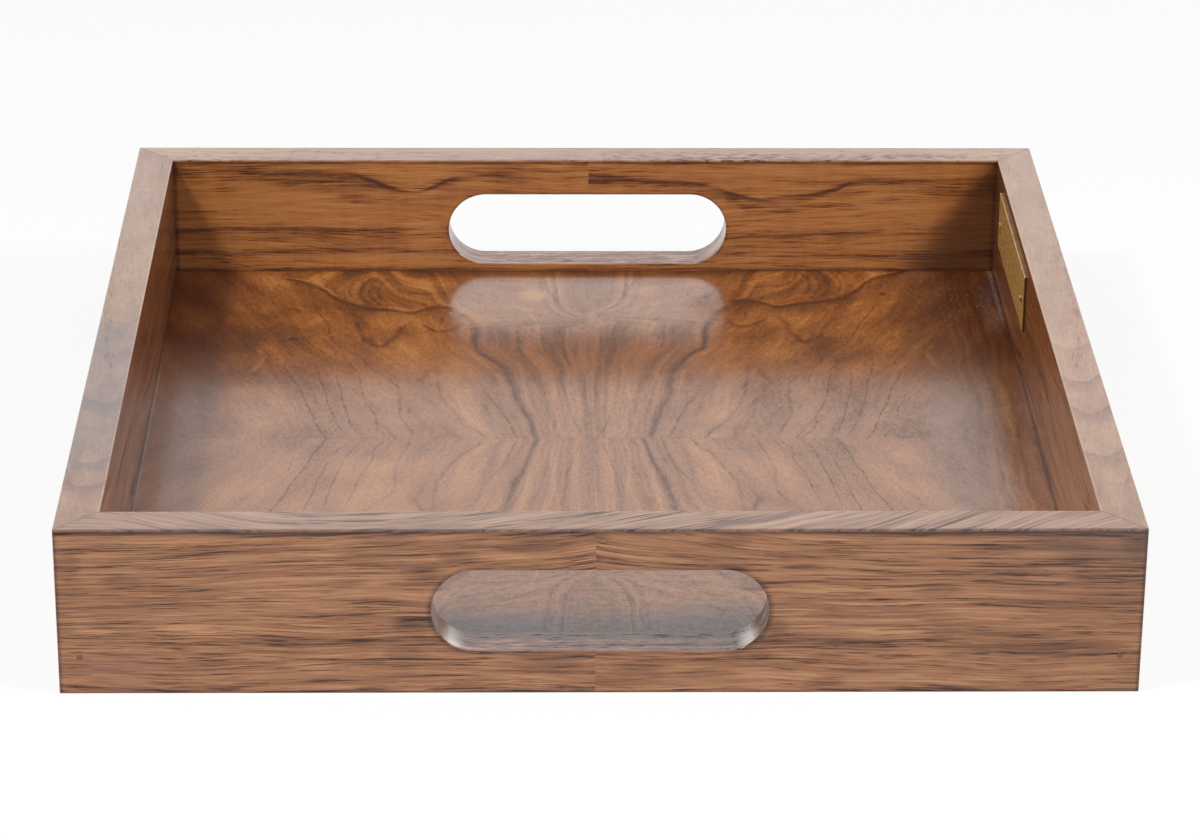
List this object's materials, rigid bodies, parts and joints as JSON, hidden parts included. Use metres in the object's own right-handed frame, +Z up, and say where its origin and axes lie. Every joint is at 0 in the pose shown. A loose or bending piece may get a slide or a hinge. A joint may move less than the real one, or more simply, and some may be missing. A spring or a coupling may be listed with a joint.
{
  "type": "wooden serving tray",
  "caption": "Square serving tray in veneered wood with straight mitred walls, a flat sunken floor and round-ended hand slots in the front and back walls.",
  "frame": {"origin": "the middle of the footprint, on the surface that the tray stands on", "axes": "+Z up; +X to the right and +Y to the back as seen from the front, so the hand slots face along Y and the plate is inside the +X wall"},
  "size_m": [0.36, 0.36, 0.0602],
  "materials": {
    "walnut_outer_leaf": "satin lacquered walnut veneer, straight grain",
    "walnut_inner_leaf": "satin lacquered walnut veneer, warm, dark streaks",
    "walnut_rim_leaf": "satin lacquered walnut veneer, pale under the lacquer",
    "walnut_floor_leaf": "satin lacquered figured walnut veneer, four-way book match",
    "walnut_slot_lining": "satin lacquered long-grain walnut band",
    "backing_leaf": "plain walnut backing veneer, thin lacquer",
    "core_board": "sealed fibreboard core, stained brown where it shows",
    "tongue_ply": "plain birch plywood slip, glued in",
    "aged_brass": "aged brass, lightly brushed, bare",
    "pin_brass": "small domed brass pin head",
    "brad_steel": "thin headless steel brad",
    "wax_stopping": "reddish brown hard wax stopping"
  },
  "bodies": {
    "root": {"back_inner_leaf_left": "walnut_inner_leaf", "back_inner_leaf_right": "walnut_inner_leaf", "back_left_tongue": "tongue_ply", "back_outer_leaf_left": "walnut_outer_leaf", "back_outer_leaf_right": "walnut_outer_leaf", "back_right_tongue": "tongue_ply", "back_rim_leaf": "walnut_rim_leaf", "back_slot_lining": "walnut_slot_lining", "back_wall_core": "core_board", "brad_fillings": "wax_stopping", "corner_brads": "brad_steel", "floor_backing": "backing_leaf", "floor_core": "core_board", "floor_leaf_back_left": "walnut_floor_leaf", "floor_leaf_back_right": "walnut_floor_leaf", "floor_leaf_front_left": "walnut_floor_leaf", "floor_leaf_front_right": "walnut_floor_leaf", "front_inner_leaf_left": "walnut_inner_leaf", "front_inner_leaf_right": "walnut_inner_leaf", "front_left_tongue": "tongue_ply", "front_outer_leaf_left": "walnut_outer_leaf", "front_outer_leaf_right": "walnut_outer_leaf", "front_right_tongue": "tongue_ply", "front_rim_leaf": "walnut_rim_leaf", "front_slot_lining": "walnut_slot_lining", "front_wall_core": "core_board", "left_inner_leaf": "walnut_inner_leaf", "left_outer_leaf": "walnut_outer_leaf", "left_rim_leaf": "walnut_rim_leaf", "left_wall_core": "core_board", "name_plate": "aged_brass", "plate_pins": "pin_brass", "right_inner_leaf": "walnut_inner_leaf", "right_outer_leaf": "walnut_outer_leaf", "right_rim_leaf": "walnut_rim_leaf", "right_wall_core": "core_board"}
  },
  "joints": []
}
